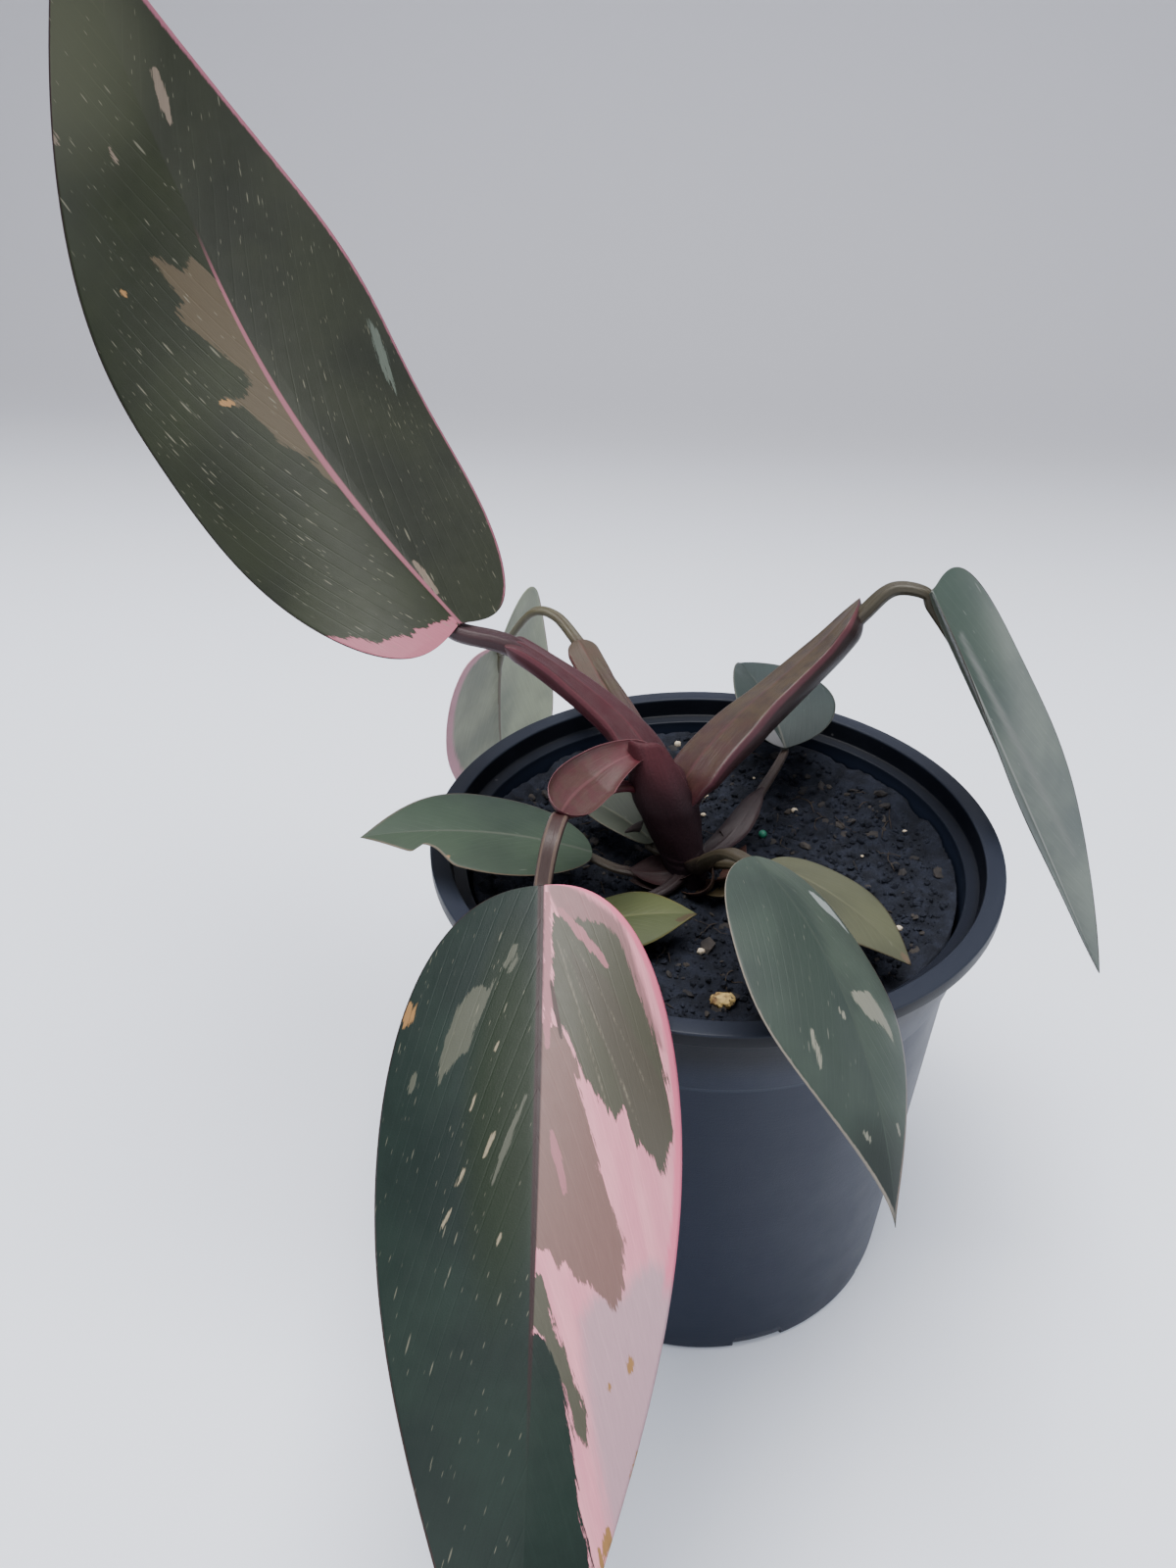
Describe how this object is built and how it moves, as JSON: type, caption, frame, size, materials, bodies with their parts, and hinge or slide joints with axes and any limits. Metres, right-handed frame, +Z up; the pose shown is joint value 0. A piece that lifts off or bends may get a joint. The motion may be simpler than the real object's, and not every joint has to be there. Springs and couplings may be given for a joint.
{
  "type": "potted pink princess philodendron",
  "caption": "Climbing-aroid house plant in a round nursery pot: long variegated leaves with pink and cream patches on channelled red stalks from a short stem.",
  "frame": {"origin": "centre of the pot's flat underside, on the surface it stands on", "axes": "+Z up along the pot's axis; -Y towards the viewer, where the large pink leaf hangs; +X towards the leaf that hangs to the right"},
  "size_m": [0.2642, 0.3004, 0.3301],
  "materials": {
    "pot": "satin, near black with a blue cast",
    "soil": "moist dark potting mix",
    "stem": "satin, dark maroon",
    "stalk_maroon": "satin, wine red",
    "stalk_olive": "satin, olive with maroon flush",
    "stalk_brown": "dull, brown",
    "leaf_green": "semi-gloss, deep green with tan and pink patches",
    "leaf_pink": "semi-gloss, half deep green and half pink",
    "leaf_grey_green": "satin, dusty grey-green with pale flecks",
    "leaf_olive": "satin, yellow-olive"
  },
  "bodies": {
    "root": {"pot": "pot", "soil": "soil", "stem": "stem", "blade_upright": "leaf_green", "stalk_upright": "stalk_maroon", "blade_front": "leaf_pink", "stalk_front": "stalk_maroon", "blade_right_hanging": "leaf_grey_green", "stalk_right_hanging": "stalk_olive", "blade_front_right": "leaf_grey_green", "stalk_front_right": "stalk_olive", "blade_left_notched": "leaf_grey_green", "stalk_left_notched": "stalk_brown", "blade_back_left": "leaf_grey_green", "stalk_back_left": "stalk_olive", "blade_small_yellow": "leaf_olive", "stalk_small_yellow": "stalk_brown", "blade_small_olive": "leaf_olive", "stalk_small_olive": "stalk_brown", "blade_small_back": "leaf_grey_green", "stalk_small_back": "stalk_brown", "blade_small_by_stem": "leaf_grey_green", "stalk_small_by_stem": "stalk_brown"}
  },
  "joints": []
}
